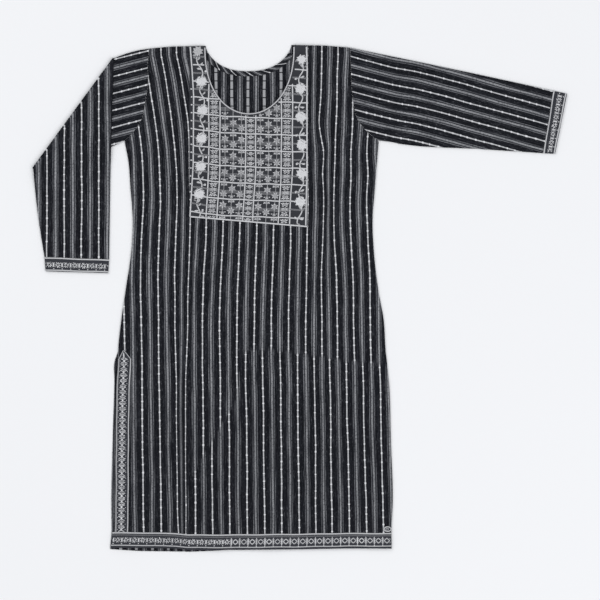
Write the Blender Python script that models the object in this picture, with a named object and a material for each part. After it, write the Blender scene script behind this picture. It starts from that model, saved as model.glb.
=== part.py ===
"""Kurta tunic, laid flat with its front up and one sleeve folded over itself.

Each piece that a maker cuts and sews on is one thin closed solid: the back and the front panel, two
flat tube sleeves, the embroidered yoke, the bias facing inside the back neck, the corded piping of
the front neck, and the woven border tapes. Lengths are in metres. "below" is measured from the
shoulder line towards the hem, and "across" from the centre line, positive to the right of the front.
"""

import math

import bmesh
import bpy

# Driving dimensions
CENTRE_X = -0.10753         # the garment's centre line, in the frame that is centred on its box
SHOULDER_Y = 0.53026        # the shoulder line
CLOTH = 0.0012              # wall of the cotton cloth
TAPE = 0.0010               # wall of the border tape and of the embroidered yoke
GAP = 0.0003                # between two pieces that touch
BODY_LENGTH = 1.056         # shoulder line to the front hem
PUFF = 0.0026               # how much the front panel stands off the back between the side seams
SLEEVE_PUFF = 0.0020        # the same for a sleeve's upper layer
NECK_HALF = 0.0945          # front neck, half width at the shoulder
NECK_CENTRE = 0.0020        # the front neck sits a little to the right
NECK_DEPTH = 0.1445
BACK_NECK_HALF = 0.0900
BACK_NECK_DEPTH = 0.0542
FACING_WIDTH = 0.0105
PIPING_RADIUS = 0.0011
YOKE_LEFT = -0.124
YOKE_RIGHT = 0.124
YOKE_LOW_LEFT = 0.360       # the yoke's lower edge, below the shoulder line
YOKE_LOW_RIGHT = 0.381
BORDER = 0.0280             # width of the border tape of the slit
HEM_BORDER = 0.0320         # width of the border tape of the hem
SLIT_TOP = 0.645            # where the side slits start
ARM_SAG = 0.0100            # how far the left sleeve's lower edge sags between the body and the fold
ARM_RISE = 0.0030           # how far its upper edge bows up over the same run

# Outline of the body: below the shoulder line, the back's left half width, the front's left half
# width (its slit edge stands back from the back's), and the right half width.
OUTLINE = (
    # below  back_left front_left right
    (0.000, 0.208, 0.208, 0.213),
    (0.040, 0.211, 0.211, 0.2145),
    (0.082, 0.211, 0.211, 0.216),
    (0.120, 0.217, 0.217, 0.220),
    (0.158, 0.226, 0.226, 0.231),
    (0.189, 0.249, 0.249, 0.259),
    (0.199, 0.2605, 0.2605, 0.2735),
    (0.240, 0.2525, 0.2525, 0.2702),
    (0.302, 0.2475, 0.2475, 0.2653),
    (0.366, 0.2430, 0.2430, 0.2605),
    (0.428, 0.2458, 0.2458, 0.2630),
    (0.512, 0.2578, 0.2578, 0.2725),
    (0.575, 0.2670, 0.2670, 0.2838),
    (0.645, 0.2750, 0.2740, 0.2885),
    (0.662, 0.2810, 0.2745, 0.2905),
    (0.701, 0.2815, 0.2765, 0.2945),
    (0.827, 0.2852, 0.2790, 0.2990),
    (0.974, 0.2882, 0.2800, 0.3024),
    (1.014, 0.2876, 0.2808, 0.3001),
    (1.021, 0.2876, 0.2862, 0.3000),
    (1.070, 0.2920, 0.2915, 0.3010),
)
BACK_LEFT, FRONT_LEFT, RIGHT = 1, 2, 3

# The shoulder seams slope a little, and the two hems lie in a shallow wave.
SHOULDER_LINE = (
    # across  below
    (-0.212, 0.0060),
    (-0.164, 0.0017),
    (-0.100, 0.0000),
    (0.100, -0.0018),
    (0.160, -0.0005),
    (0.213, 0.0038),
)
HEM_LINE = (
    # across  front   back
    (-0.291, 1.0534, 1.0566),
    (-0.228, 1.0536, 1.0608),
    (-0.152, 1.0550, 1.0616),
    (-0.127, 1.0578, 1.0624),
    (-0.077, 1.0582, 1.0605),
    (-0.018, 1.0578, 1.0570),
    (0.108, 1.0566, 1.0556),
    (0.203, 1.0548, 1.0538),
    (0.297, 1.0551, 1.0541),
)

# Edges of the right sleeve as (across, below), from the shoulder point and the underarm to the cuff.
RIGHT_TOP_EDGE = ((0.213, 0.0040), (0.420, 0.0468), (0.6395, 0.0940))
RIGHT_LOW_EDGE = ((0.2735, 0.199), (0.360, 0.2108), (0.480, 0.2165), (0.6185, 0.2255))
RIGHT_CUFF_END = ((0.6689, 0.1005), (0.6437, 0.2268))

# The left sleeve: its armhole end, the diagonal that it is folded along, and the cuff, each as
# (across, below) for the edge that is the sleeve's top fold and for the underarm edge.
LEFT_FOLD = ((-0.2825, 0.0262), (-0.4521, 0.2582))
LEFT_SEAM_END = ((-0.2925, 0.4480), (-0.4284, 0.4430))
LEFT_CUFF_END = ((-0.2945, 0.4770), (-0.4263, 0.4732))
LEFT_OUTER_BOW = 0.0025     # the folded part's outer edge bows out between the fold and the cuff
LEFT_INNER_BOW = 0.0015     # its inner edge bows the same way
FOLD_STEPS = 6

NECK_STEPS = 18
SIDE_COLUMNS = 5
SHOULDER_COLUMNS = 2
ROUND_STEPS = 4
UNDERARM = 0.199
ARMHOLE_LEVELS = (0.0, 0.040, 0.082, 0.120, 0.158, 0.189, UNDERARM)
SIDE_LEVELS = tuple(row[0] for row in OUTLINE if UNDERARM < row[0] < 1.018)

COLOURS = {
    "cloth": (0.012, 0.013, 0.016, 1.0),
    "yoke": (0.09, 0.09, 0.10, 1.0),
    "border": (0.05, 0.052, 0.06, 1.0),
    "piping": (0.62, 0.62, 0.63, 1.0),
}


def lerp(a, b, t):
    return a + (b - a) * t


def smooth(t):
    t = min(1.0, max(0.0, t))
    return t * t * (3 - 2 * t)


def column(table, wanted, at):
    """The wanted column of a table, read at a value of its first column."""
    for low, high in zip(table, table[1:]):
        if at <= high[0]:
            return lerp(low[wanted], high[wanted], max(0.0, (at - low[0]) / (high[0] - low[0])))
    return table[-1][wanted]


def along(points, t):
    """A point at the share t of a line through a few points, smooth at each of them."""
    last = len(points) - 1
    i = min(int(t * last), last - 1)
    f = t * last - i
    before = points[max(i - 1, 0)]
    a, b = points[i], points[i + 1]
    after = points[min(i + 2, last)]
    return tuple(
        0.5 * (2 * q + (r - p) * f + (2 * p - 5 * q + 4 * r - s) * f * f + (3 * q - p - 3 * r + s) * f ** 3)
        for p, q, r, s in zip(before, a, b, after)
    )


def place(across, below, z):
    return (CENTRE_X + across, SHOULDER_Y - below, z)


def left_edge(below, which=FRONT_LEFT):
    return -column(OUTLINE, which, below)


def right_edge(below):
    return column(OUTLINE, RIGHT, below)


def shoulder(across):
    return column(SHOULDER_LINE, 1, across)


def front_neck(across, inset=0.0):
    """How far below the shoulder line the front neck edge lies, or the line inset from it."""
    share = min(1.0, abs(across - NECK_CENTRE) / (NECK_HALF - inset))
    return shoulder(across) + (NECK_DEPTH - inset) * (1 - share ** 2) ** 0.42


def back_neck(across):
    share = min(1.0, abs(across) / BACK_NECK_HALF)
    return shoulder(across) + BACK_NECK_DEPTH * (1 - share ** 2.4) ** 0.65


def front_hem(across):
    return column(HEM_LINE, 1, across)


def back_hem(across):
    return column(HEM_LINE, 2, across)


def front_under(across, below):
    """Height of the front's inner face: it meets the back at the side seams and stands off it between."""
    to_side = min(across - left_edge(below), right_edge(below) - across)
    to_top = below + 0.010
    to_hem = BODY_LENGTH + 0.02 - below
    soft = smooth(to_side / 0.060) * smooth(to_top / 0.050) * smooth(to_hem / 0.080)
    return CLOTH + GAP + PUFF * soft


def front_top(across, below):
    return front_under(across, below) + CLOTH


def new_object(name, mesh_builder, colour, roughness=0.9):
    mesh = bpy.data.meshes.new(name)
    bm = bmesh.new()
    mesh_builder(bm)
    bmesh.ops.recalc_face_normals(bm, faces=bm.faces)
    bm.to_mesh(mesh)
    bm.free()
    obj = bpy.data.objects.new(name, mesh)
    finish_object(obj, name, colour, roughness)
    return obj


def finish_object(obj, name, colour, roughness=0.9):
    bpy.context.scene.collection.objects.link(obj)
    material = bpy.data.materials.new(name)
    material.use_nodes = True
    shader = material.node_tree.nodes["Principled BSDF"]
    shader.inputs["Base Color"].default_value = COLOURS[colour]
    shader.inputs["Roughness"].default_value = roughness
    shader.inputs["Metallic"].default_value = 0.0
    obj.data.materials.append(material)
    obj.parent = GARMENT


def shell_builder(grid, under, wall):
    """A closed sheet: grid[i][j] is (across, below), its lower face at under(across, below)."""
    def build(bm):
        faces = []
        for lift in (0.0, wall):
            faces.append([[bm.verts.new(place(a, b, under(a, b) + lift)) for a, b in line] for line in grid])
        low, high = faces
        wide, tall = len(grid), len(grid[0])
        for i in range(wide - 1):
            for j in range(tall - 1):
                bm.faces.new((low[i][j], low[i][j + 1], low[i + 1][j + 1], low[i + 1][j]))
                bm.faces.new((high[i][j], high[i + 1][j], high[i + 1][j + 1], high[i][j + 1]))
        rim = [(i, 0) for i in range(wide)] + [(wide - 1, j) for j in range(1, tall)]
        rim += [(i, tall - 1) for i in range(wide - 2, -1, -1)] + [(0, j) for j in range(tall - 2, 0, -1)]
        for (i, j), (k, m) in zip(rim, rim[1:] + rim[:1]):
            bm.faces.new((low[i][j], low[k][m], high[k][m], high[i][j]))
    return build


def neck_columns(half, centre):
    """Where the columns cross the neck, close together where its edge is steep."""
    return [centre - half * math.cos(math.pi * k / NECK_STEPS) for k in range(NECK_STEPS + 1)]


def centre_columns(half, centre):
    """The columns between the yoke's two edges: they run straight down the panel."""
    neck = neck_columns(half, centre)
    left = [lerp(YOKE_LEFT, neck[0], k / SHOULDER_COLUMNS) for k in range(SHOULDER_COLUMNS)]
    right = [lerp(neck[-1], YOKE_RIGHT, (k + 1) / SHOULDER_COLUMNS) for k in range(SHOULDER_COLUMNS)]
    return left + neck + right


def body_grid(half, centre, neck, hem, side):
    """The columns of a body panel from the left seam to the right one, each from the hem to the top."""
    def rows_below(top, bottom):
        first = bottom - HEM_BORDER
        levels = sorted(ARMHOLE_LEVELS + SIDE_LEVELS, reverse=True)
        return [bottom, first] + [max(top, level) if level < 0.05 else level for level in levels]

    def neck_rows(top, bottom):
        first = bottom - HEM_BORDER
        levels = sorted(ARMHOLE_LEVELS + SIDE_LEVELS, reverse=True)
        return [bottom, first] + [lerp(top, first, level / BODY_LENGTH) for level in levels]

    grid = []
    for k in range(SIDE_COLUMNS):
        line = []
        share = 0.0 if k == 0 else 0.2 + 0.8 * (k - 1) / (SIDE_COLUMNS - 1)
        at = lerp(left_edge(BODY_LENGTH, side), YOKE_LEFT, share)
        for below in rows_below(shoulder(lerp(left_edge(0.0, side), YOKE_LEFT, share)), hem(at)):
            edge = left_edge(below, side)
            inner = edge + BORDER
            line.append((edge if k == 0 else lerp(inner, YOKE_LEFT, (k - 1) / (SIDE_COLUMNS - 1)), below))
        grid.append(line)
    for across in centre_columns(half, centre):
        grid.append([(across, below) for below in neck_rows(neck(across), hem(across))])
    for k in range(SIDE_COLUMNS):
        share = (k + 1) / SIDE_COLUMNS
        top = shoulder(lerp(YOKE_RIGHT, right_edge(0.0), share))
        bottom = hem(lerp(YOKE_RIGHT, right_edge(BODY_LENGTH), share))
        levels = rows_below(top, bottom)
        grid.append([(lerp(YOKE_RIGHT, right_edge(below), share), below) for below in levels])
    return grid


# The flat tubes of the sleeves

def tube_profile(width, wall, low, radius_wall):
    """One ring of a flat tube as (share across, height, is it the upper layer)."""
    round_at = wall + GAP / 2
    points = []
    inset = round_at / width
    shares = [level / UNDERARM for level in ARMHOLE_LEVELS]
    for share in shares:
        points.append((lerp(inset, 1 - inset, share), low, False))
    middle = wall + GAP / 2
    radius = radius_wall
    for k in range(1, ROUND_STEPS):
        turn = math.pi * (k / ROUND_STEPS - 0.5)
        out = round_at - radius * math.cos(turn)
        points.append((1 - out / width, middle + radius * math.sin(turn), k > 2))
    for share in reversed(shares):
        points.append((lerp(inset, 1 - inset, share), 2 * middle - low, True))
    for k in range(1, ROUND_STEPS):
        turn = math.pi * (0.5 - k / ROUND_STEPS)
        points.append(((round_at - radius * math.cos(turn)) / width, middle + radius * math.sin(turn), k < 2))
    return points


def tube_builder(stations, wall, puff):
    """A flat tube open at both ends. A station is (line across it, function to lift its points)."""
    def build(bm):
        rings = []
        middle = wall + GAP / 2
        for line, lift, fullness in stations:
            start, end = line(0.0), line(1.0)
            width = math.dist(start, end)
            pair = []
            for low, radius in ((0.0, middle), (wall, GAP / 2)):
                ring = []
                for share, height, upper in tube_profile(width, wall, low, radius):
                    raised = puff * fullness * math.sin(math.pi * share) if upper else 0.0
                    ring.append(bm.verts.new(lift(line(share), height, raised)))
                pair.append(ring)
            rings.append(pair)
        count = len(rings[0][0])
        for (outer, inner), (next_outer, next_inner) in zip(rings, rings[1:]):
            for k in range(count):
                m = (k + 1) % count
                bm.faces.new((outer[k], outer[m], next_outer[m], next_outer[k]))
                bm.faces.new((inner[m], inner[k], next_inner[k], next_inner[m]))
        for outer, inner in (rings[0], rings[-1]):
            for k in range(count):
                m = (k + 1) % count
                bm.faces.new((outer[m], outer[k], inner[k], inner[m]))
    return build


def flat(point, height, raised):
    return place(point[0], point[1], height + raised)


def between(first, second, t):
    """The line across a sleeve at the share t between two lines across it."""
    def line(share):
        a, b = first(share), second(share)
        return (lerp(a[0], b[0], t), lerp(a[1], b[1], t))
    return line


def straight(ends):
    return lambda share: (lerp(ends[0][0], ends[1][0], share), lerp(ends[0][1], ends[1][1], share))


def armhole(side, shift):
    """The armhole edge from the shoulder point to the underarm, moved off the body by shift."""
    def line(share):
        below = lerp(SHOULDER_LINE[-1 if side > 0 else 0][1], UNDERARM, share)
        edge = right_edge(below) if side > 0 else -left_edge(below)
        return (side * (edge + shift), below)
    return line


def right_stations(count):
    start = armhole(1, 0.0015)
    end = straight((RIGHT_TOP_EDGE[-1], RIGHT_LOW_EDGE[-1]))

    def line_at(t):
        def line(share):
            plain = between(start, end, t)(share)
            top = along(RIGHT_TOP_EDGE, t)
            low = along(RIGHT_LOW_EDGE, t)
            ends = between(start, end, t)
            top_off = (top[0] - ends(0.0)[0], top[1] - ends(0.0)[1])
            low_off = (low[0] - ends(1.0)[0], low[1] - ends(1.0)[1])
            fade = min(1.0, 6 * t, 6 * (1 - t))
            return (
                plain[0] + fade * lerp(top_off[0], low_off[0], share),
                plain[1] + fade * lerp(top_off[1], low_off[1], share),
            )
        return line

    return [(line_at(k / count), flat, smooth(4 * k / count + 0.25)) for k in range(count + 1)]


def fold_lift(turn):
    """Lifts points round the diagonal fold: turn runs from 0, below, to pi, on top."""
    (ax, ab), (bx, bb) = LEFT_FOLD
    length = math.dist((ax, ab), (bx, bb))
    out = ((bb - ab) / length, -(bx - ax) / length)
    out = (-abs(out[0]), -abs(out[1]))
    axis = 2 * CLOTH + GAP + GAP / 2

    def lift(point, height, raised):
        arm = axis - height
        push = arm * math.sin(turn)
        return place(point[0] + out[0] * push, point[1] + out[1] * push, axis - arm * math.cos(turn))
    return lift


def left_bottom_edge(across):
    """Below-line of the left sleeve's underarm edge between the body and the fold."""
    start = left_edge(UNDERARM) - 0.0015
    share = min(1.0, max(0.0, (across - start) / (LEFT_FOLD[1][0] - start)))
    return lerp(UNDERARM, LEFT_FOLD[1][1], share) + arm_sag(share)


def arm_sag(share):
    return ARM_SAG * 4 * share * (1 - share)


def folded_over(point, height, raised):
    """The part that lies on top of the sleeve, and comes down to the table past the sleeve's edge."""
    stack = 2 * (2 * CLOTH + GAP) + GAP
    past = point[1] - left_bottom_edge(point[0]) - 0.004
    drop = (2 * CLOTH + 2 * GAP) * smooth(past / 0.050)
    return place(point[0], point[1], stack - height - drop)


def left_stations():
    start = armhole(-1, 0.0015)
    fold = straight(LEFT_FOLD)
    seam = straight(LEFT_SEAM_END)
    stations = []
    for k in range(7):
        def arm_line(share, base=between(start, fold, k / 6), bow=4 * (k / 6) * (1 - k / 6)):
            point = base(share)
            return (point[0], point[1] + bow * (ARM_SAG * share ** 2 - ARM_RISE * (1 - share) ** 2))
        stations.append((arm_line, flat, 0.0))
    for k in range(1, FOLD_STEPS):
        stations.append((fold, fold_lift(math.pi * k / FOLD_STEPS), 0.0))
    rows = 16
    for k in range(rows + 1):
        bend = math.sin(math.pi * k / rows)

        def line(share, base=between(fold, seam, k / rows), bend=bend):
            point = base(share)
            return (point[0] - bend * lerp(LEFT_INNER_BOW, LEFT_OUTER_BOW, share * share), point[1])
        stations.append((line, folded_over, 0.0))
    return stations


def cuff_stations(first, second, gap_share):
    begin, end = straight(first), straight(second)
    return [(between(begin, end, lerp(gap_share, 1.0, k / 2)), flat, 0.0) for k in range(3)]


# The pieces

for old in list(bpy.data.objects):
    bpy.data.objects.remove(old, do_unlink=True)

GARMENT = bpy.data.objects.new("garment", None)
bpy.context.scene.collection.objects.link(GARMENT)

back_grid = body_grid(BACK_NECK_HALF, 0.0, back_neck, back_hem, BACK_LEFT)
new_object("back_panel", shell_builder(back_grid, lambda a, b: 0.0, CLOTH), "cloth")

front_grid = body_grid(NECK_HALF, NECK_CENTRE, front_neck, front_hem, FRONT_LEFT)
new_object("front_panel", shell_builder(front_grid, front_under, CLOTH), "cloth")

new_object("sleeve_right", tube_builder(right_stations(20), CLOTH, SLEEVE_PUFF), "cloth")
new_object("sleeve_left", tube_builder(left_stations(), CLOTH, 0.0), "cloth")

RIGHT_SEAM = (RIGHT_TOP_EDGE[-1], RIGHT_LOW_EDGE[-1])
for name, first, last in (
    ("cuff_border_right", RIGHT_SEAM, RIGHT_CUFF_END),
    ("cuff_border_left", LEFT_SEAM_END, LEFT_CUFF_END),
):
    new_object(name, tube_builder(cuff_stations(first, last, 0.03), CLOTH, 0.0), "border")


def over_front(across, below):
    return front_top(across, below) + GAP


def yoke_low(across):
    return lerp(YOKE_LOW_LEFT, YOKE_LOW_RIGHT, (across - YOKE_LEFT) / (YOKE_RIGHT - YOKE_LEFT))


YOKE_ROWS = 10
yoke_grid = []
for across in centre_columns(NECK_HALF, NECK_CENTRE):
    low, top = yoke_low(across), front_neck(across)
    yoke_grid.append([(across, lerp(low, top, k / YOKE_ROWS)) for k in range(YOKE_ROWS + 1)])
new_object("neck_yoke", shell_builder(yoke_grid, over_front, TAPE), "yoke")

hem_grid = []
for line in front_grid:
    (low_across, low), (high_across, high) = line[0], line[1]
    hem_grid.append([(low_across, low - 0.0004), (high_across, high)])
new_object("hem_border", shell_builder(hem_grid, over_front, TAPE), "border")

# The slit's border runs from the hem's border to a point over the end of the side seam.
SLIT_ROWS = 14
slit_low = front_grid[0][1][1] - 0.0006
slit_grid = [[], [], []]
for k in range(SLIT_ROWS + 1):
    below = lerp(slit_low, SLIT_TOP + 0.012, k / SLIT_ROWS)
    edge = left_edge(below)
    for step, share in enumerate((0.02, 0.5, 1.0)):
        slit_grid[step].append((edge + BORDER * share, below))
tip = (left_edge(SLIT_TOP) + BORDER * 0.42, SLIT_TOP - 0.006)
for step, spread in enumerate((-0.002, 0.0, 0.002)):
    slit_grid[step].append((tip[0] + spread, tip[1]))
new_object("slit_border_left", shell_builder(slit_grid, over_front, TAPE), "border")

# The right slit's border is turned under. Only its end curls out at the corner, over the front.
curl_grid = []
for k in range(7):
    turn = math.pi * k / 6
    across = 0.2920 - 0.0080 * math.cos(turn)
    half = 0.0010 + 0.0053 * math.sin(turn)
    curl_grid.append([(across, 1.0150 + half), (across, 1.0150 - half)])
new_object("slit_border_right", shell_builder(curl_grid, over_front, TAPE), "border")

# The bias strip that finishes the back neck, on the inner face of the back.
facing_grid = []
for k in range(25):
    across = -BACK_NECK_HALF * math.cos(math.pi * (0.135 + 0.73 * k / 24))
    below = back_neck(across)
    slope = math.atan((back_neck(across + 0.0005) - back_neck(across - 0.0005)) / 0.001)
    inward = (-math.sin(slope) * FACING_WIDTH, math.cos(slope) * FACING_WIDTH)
    facing_grid.append([(across + inward[0], below + inward[1]), (across, below + 0.0002)])
new_object("back_neck_facing", shell_builder(facing_grid, lambda a, b: CLOTH + GAP, TAPE), "cloth")

# The corded piping along the front neck edge.
curve = bpy.data.curves.new("neck_piping", "CURVE")
curve.dimensions = "3D"
curve.bevel_depth = PIPING_RADIUS
curve.bevel_resolution = 2
curve.use_fill_caps = True
curve.resolution_u = 1
spline = curve.splines.new("POLY")
PIPING_POINTS = 40
spline.points.add(PIPING_POINTS - 1)
inset = PIPING_RADIUS + GAP + 0.0006
for k, point in enumerate(spline.points):
    turn = math.pi * lerp(0.02, 0.98, k / (PIPING_POINTS - 1))
    across = NECK_CENTRE - (NECK_HALF - inset) * math.cos(turn)
    below = front_neck(across, inset)
    height = front_under(across, below) + (CLOTH + GAP + TAPE) / 2
    point.co = (*place(across, below, height), 1.0)
piping = bpy.data.objects.new("neck_piping", curve)
finish_object(piping, "neck_piping", "piping")

for obj in bpy.data.objects:
    if obj.type == "MESH":
        obj.data.shade_smooth()
        obj.data.set_sharp_from_angle(angle=math.radians(35))
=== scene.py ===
"""Kurta tunic, laid flat with one sleeve folded over: the visual model on the CAD frame."""
import math
import random

import bpy
import numpy as np
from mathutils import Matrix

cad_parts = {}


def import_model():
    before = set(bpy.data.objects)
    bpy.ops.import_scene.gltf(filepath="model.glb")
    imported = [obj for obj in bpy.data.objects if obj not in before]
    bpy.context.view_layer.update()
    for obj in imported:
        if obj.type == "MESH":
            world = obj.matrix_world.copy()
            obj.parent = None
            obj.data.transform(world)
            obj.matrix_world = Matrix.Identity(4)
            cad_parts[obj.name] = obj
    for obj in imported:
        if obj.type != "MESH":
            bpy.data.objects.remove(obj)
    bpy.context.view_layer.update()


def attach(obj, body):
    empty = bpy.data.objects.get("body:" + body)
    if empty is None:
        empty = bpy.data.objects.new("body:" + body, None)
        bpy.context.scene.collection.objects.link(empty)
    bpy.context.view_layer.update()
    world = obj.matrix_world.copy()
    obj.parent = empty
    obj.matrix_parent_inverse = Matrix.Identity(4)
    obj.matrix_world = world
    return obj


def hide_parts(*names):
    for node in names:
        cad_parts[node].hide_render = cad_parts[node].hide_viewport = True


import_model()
rng = random.Random(7)

# ---- sizes, metres
CENTRE_X, SHOULDER_Y = -0.10753, 0.53026
CLOTH, GAP = 0.0012, 0.0003
WALL, SEWN_WALL = 0.0008, 0.0007    # the cloth as it is seen, and what is sewn on it
SUNK = -0.0002                      # the rim of a stitch, below the face of the cloth it is sewn on
BODY_LENGTH = 1.056
PUFF, SLEEVE_PUFF = 0.0026, 0.0020
NECK_HALF, NECK_CENTRE, NECK_DEPTH = 0.0945, 0.0020, 0.1445
BACK_NECK_HALF, BACK_NECK_DEPTH = 0.0900, 0.0542
FACING_WIDTH = 0.0105
YOKE_LEFT, YOKE_RIGHT = -0.124, 0.124
YOKE_LOW_LEFT, YOKE_LOW_RIGHT = 0.360, 0.381
BORDER, HEM_BORDER, SLIT_TOP, UNDERARM = 0.0280, 0.0320, 0.645, 0.199
HEM_LEVEL, SLIT_TIP = 1.055, 0.012

OUTLINE = np.array((
    # below  back_left front_left right
    (0.0, 0.208, 0.208, 0.213),
    (0.04, 0.211, 0.211, 0.2145),
    (0.082, 0.211, 0.211, 0.216),
    (0.12, 0.217, 0.217, 0.22),
    (0.158, 0.226, 0.226, 0.231),
    (0.189, 0.249, 0.249, 0.259),
    (0.199, 0.2605, 0.2605, 0.2735),
    (0.24, 0.2525, 0.2525, 0.2702),
    (0.302, 0.2475, 0.2475, 0.2653),
    (0.366, 0.243, 0.243, 0.2605),
    (0.428, 0.2458, 0.2458, 0.263),
    (0.512, 0.2578, 0.2578, 0.2725),
    (0.575, 0.267, 0.267, 0.2838),
    (0.645, 0.275, 0.274, 0.2885),
    (0.662, 0.281, 0.2745, 0.2905),
    (0.701, 0.2815, 0.2765, 0.2945),
    (0.827, 0.2852, 0.279, 0.299),
    (0.974, 0.2882, 0.28, 0.3024),
    (1.014, 0.2876, 0.2808, 0.3001),
    (1.021, 0.2876, 0.2862, 0.3),
    (1.07, 0.292, 0.2915, 0.301),
))
BACK_LEFT, FRONT_LEFT, RIGHT = 1, 2, 3
CORNER = 6                          # the row of the underarm, where the outline turns sharply

SHOULDER_LINE = np.array((
    # across  below
    (-0.212, 0.0060), (-0.164, 0.0017), (-0.100, 0.0000), (0.100, -0.0018), (0.160, -0.0005), (0.213, 0.0038),
))
HEM_LINE = np.array((
    # across  front   back
    (-0.291, 1.0534, 1.0566), (-0.228, 1.0536, 1.0608), (-0.152, 1.0550, 1.0616), (-0.127, 1.0578, 1.0624),
    (-0.077, 1.0582, 1.0605), (-0.018, 1.0578, 1.0570), (0.108, 1.0566, 1.0556), (0.203, 1.0548, 1.0538),
    (0.297, 1.0551, 1.0541),
))

RIGHT_TOP_EDGE = ((0.213, 0.0040), (0.420, 0.0468), (0.6395, 0.0940))
RIGHT_LOW_EDGE = ((0.2735, 0.199), (0.360, 0.2108), (0.480, 0.2165), (0.6185, 0.2255))
RIGHT_CUFF_END = ((0.6689, 0.1005), (0.6437, 0.2268))
LEFT_FOLD = ((-0.2825, 0.0262), (-0.4521, 0.2582))
LEFT_SEAM_END = ((-0.2925, 0.4480), (-0.4284, 0.4430))
LEFT_CUFF_END = ((-0.2945, 0.4770), (-0.4263, 0.4732))
LEFT_OUTER_BOW, LEFT_INNER_BOW, ARM_SAG, ARM_RISE = 0.0025, 0.0015, 0.0100, 0.0030

# Where the woven stripes run on the body: across, for some half steps of the repeat (even steps are
# the white stripes), at a few levels below the shoulder. The darts eat cloth at steps 2 and 18.
STEPS = (-4, -2, 0, 2, 3, 4, 16, 17, 18, 19, 20, 22, 24)
STRIPES = np.array((
    # below   -4      -2       0       2       3       4      16      17      18      19      20      22      24
    (0.019, -.2552, -.2197, -.1840, -.1514, -.1355, -.0890, .1237, .1388, .1540, .1712, .1880, .2225, .2570),
    (0.061, -.2468, -.2111, -.1756, -.1424, -.1260, -.0890, .1237, .1369, .1529, .1695, .1859, .2206, .2552),
    (0.114, -.2384, -.2027, -.1674, -.1336, -.1176, -.0890, .1237, .1369, .1512, .1680, .1859, .2190, .2540),
    (0.166, -.2312, -.1957, -.1602, -.1271, -.1113, -.0890, .1237, .1373, .1485, .1665, .1842, .2188, .2522),
    (0.219, -.2239, -.1894, -.1541, -.1250, -.1082, -.0888, .1237, .1400, .1581, .1685, .1821, .2157, .2491),
    (0.271, -.2220, -.1863, -.1508, -.1239, -.1061, -.0888, .1237, .1412, .1558, .1672, .1800, .2148, .2503),
    (0.324, -.2209, -.1844, -.1497, -.1229, -.1055, -.0888, .1237, .1418, .1590, .1668, .1779, .2127, .2474),
    (0.376, -.2232, -.1869, -.1516, -.1226, -.1069, -.0888, .1237, .1412, .1580, .1664, .1791, .2140, .2497),
    (0.492, -.2268, -.1900, -.1548, -.1262, -.1136, -.0945, .1219, .1393, .1530, .1672, .1848, .2197, .2549),
    (0.597, -.2249, -.1892, -.1535, -.1283, -.1145, -.0966, .1201, .1376, .1539, .1697, .1863, .2211, .2558),
    (0.754, -.2232, -.1869, -.1509, -.1332, -.1135, -.0954, .1219, .1391, .1558, .1720, .1893, .2244, .2595),
    (1.017, -.2205, -.1831, -.1466, -.1320, -.1117, -.0935, .1250, .1415, .1590, .1758, .1943, .2300, .2657),
))
# Below this line the white and the grey stripes change places.
TURNOVER = np.array(((-0.1270, 0.96), (-0.1230, 0.911), (-0.0260, 0.743), (-0.0115, 0.642), (0.0400, 0.638),
                     (0.1200, 0.648), (0.1900, 0.660), (0.3100, 0.672)))
BACK_STRIPES = ((-0.2855, -0.0013, 0.3000), (-17.0, 0.0, 17.4))
TURNOVER_FROM = -0.1285
SLEEVE_REPEAT, ARM_REPEAT, FOREARM_REPEAT = 0.03648, 0.0355, 0.0363

# Creases and soft folds of the front, as troughs (height below 0) and ridges along straight runs.
CREASES = (
    # start_across start_below end_across end_below width height
    (-0.275, 0.648, 0.29, 0.65, 0.0055, -0.0011),
    (-0.275, 0.661, 0.29, 0.663, 0.012, 0.0012),
    (-0.22, 0.223, -0.165, 0.224, 0.004, -0.0009),
    (-0.124, 0.36, -0.129, 0.62, 0.005, 0.0014),
    (-0.129, 0.62, -0.127, 0.88, 0.008, 0.0008),
    (0.157, 0.19, 0.153, 0.42, 0.0045, 0.0012),
    (0.153, 0.42, 0.155, 0.74, 0.006, 0.0009),
    (0.147, 0.155, 0.159, 0.215, 0.004, 0.0014),
    (0.159, 0.215, 0.154, 0.29, 0.004, 0.0014),
    (-0.245, 0.21, -0.185, 0.115, 0.008, 0.0013),
    (-0.25, 0.23, -0.15, 0.26, 0.009, 0.0008),
    (0.262, 0.215, 0.205, 0.1, 0.008, 0.0013),
    (0.262, 0.23, 0.19, 0.27, 0.009, 0.0008),
    (-0.235, 0.45, -0.215, 0.63, 0.012, 0.0008),
    (0.245, 0.46, 0.23, 0.64, 0.013, 0.0008),
    (-0.185, 0.7, -0.2, 1.02, 0.016, 0.001),
    (-0.07, 0.68, -0.085, 1.03, 0.018, 0.0011),
    (0.05, 0.7, 0.06, 1.03, 0.019, 0.001),
    (0.165, 0.69, 0.185, 1.03, 0.017, 0.0011),
    (0.255, 0.72, 0.262, 1.0, 0.013, 0.0009),
    (-0.02, 0.4, -0.03, 0.63, 0.017, 0.0006),
    (0.085, 0.41, 0.08, 0.62, 0.016, 0.0007),
)
RIGHT_SLEEVE_CREASES = (
    (0.27, 0.18, 0.3, 0.06, 0.008, 0.0011),
    (0.3, 0.195, 0.38, 0.12, 0.01, 0.0008),
    (0.345, 0.06, 0.56, 0.11, 0.011, 0.0007),
    (0.4, 0.18, 0.6, 0.19, 0.012, 0.0008),
    (0.47, 0.09, 0.5, 0.2, 0.009, 0.0004),
    (0.56, 0.1, 0.59, 0.21, 0.007, 0.0004),
)


# ---- the garment's form
def lerp(a, b, t):
    return a + (b - a) * t


def smooth(t):
    t = np.clip(t, 0.0, 1.0)
    return t * t * (3 - 2 * t)


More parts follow.
